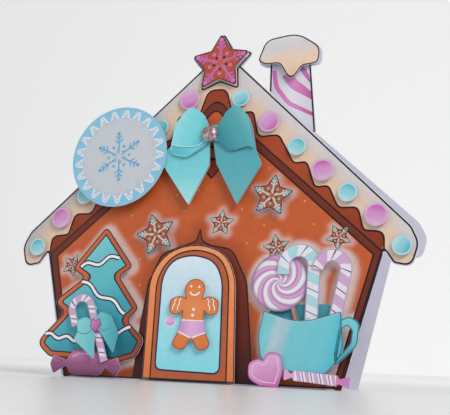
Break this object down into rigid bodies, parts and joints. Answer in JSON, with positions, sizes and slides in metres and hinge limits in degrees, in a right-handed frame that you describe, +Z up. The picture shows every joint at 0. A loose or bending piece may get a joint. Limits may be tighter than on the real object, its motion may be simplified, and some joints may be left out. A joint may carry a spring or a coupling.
{
  "type": "shaped decoupage greeting card",
  "caption": "Folding greeting card cut to the outline of a candy house, with printed paper pieces raised on its front.",
  "frame": {"origin": "centre of the footprint of the standing card, on the surface that it stands on", "axes": "+X to the right along the foot of the printed front, +Y away from the viewer, +Z up"},
  "size_m": [0.2022, 0.066, 0.174],
  "materials": {
    "wall_print": "satin printed card, orange-brown with icing and white paper core",
    "star_print": "satin printed card, rust with pale snowflakes",
    "icing_print": "satin printed card, cream icing",
    "tag_print": "satin printed card, light blue rim and grey-lilac centre",
    "bow_print": "satin printed card, turquoise",
    "gem": "faceted clear stone with a mauve cast",
    "door_print": "satin printed card, orange frame and pale blue window",
    "biscuit_print": "satin printed card, gingerbread",
    "tree_print": "satin printed card, turquoise icing on biscuit",
    "cane_print": "satin printed card, white with coloured bands",
    "sweet_print": "satin printed card, mauve",
    "pink_print": "satin printed card, pink and white",
    "mug_print": "satin printed card, turquoise",
    "pink_candy_print": "satin printed card, pink sweet with a pale rim",
    "blue_candy_print": "satin printed card, blue sweet with a pale rim",
    "plain_card": "matt white card with a lilac cast",
    "insert_paper": "matt white writing paper"
  },
  "bodies": {
    "front": {"front_panel": "wall_print", "peak_star": "star_print", "chimney_cap": "icing_print", "candy_right_1": "blue_candy_print", "candy_right_2": "pink_candy_print", "candy_right_3": "blue_candy_print", "candy_right_4": "pink_candy_print", "candy_right_5": "blue_candy_print", "candy_right_6": "pink_candy_print", "candy_right_7": "blue_candy_print", "candy_left_1": "pink_candy_print", "candy_left_2": "blue_candy_print", "candy_left_3": "pink_candy_print", "candy_left_4": "blue_candy_print", "candy_left_5": "pink_candy_print", "candy_left_6": "blue_candy_print", "tag": "tag_print", "bow_back": "bow_print", "bow_middle": "bow_print", "bow_front": "bow_print", "bow_gem": "gem", "wall_star_left": "star_print", "wall_star_right": "star_print", "door": "door_print", "gingerbread_man": "biscuit_print", "tree": "tree_print", "tree_cane": "cane_print", "tree_bow": "bow_print", "wrapped_sweet": "sweet_print", "lollipop": "pink_print", "blue_cane": "cane_print", "pink_cane": "cane_print", "mug": "mug_print", "heart_sweet": "pink_print", "striped_sweet": "pink_print"},
    "back": {"back_panel": "plain_card", "insert_sheet": "insert_paper"}
  },
  "joints": [
    {"name": "card_fold", "type": "hinge", "parent": "front", "child": "back", "pos_m": [-0.0695, -0.02565, -0.00003], "axis": [-0.2571, 0.0842, 0.9627], "range_deg": [-14, 133]}
  ]
}
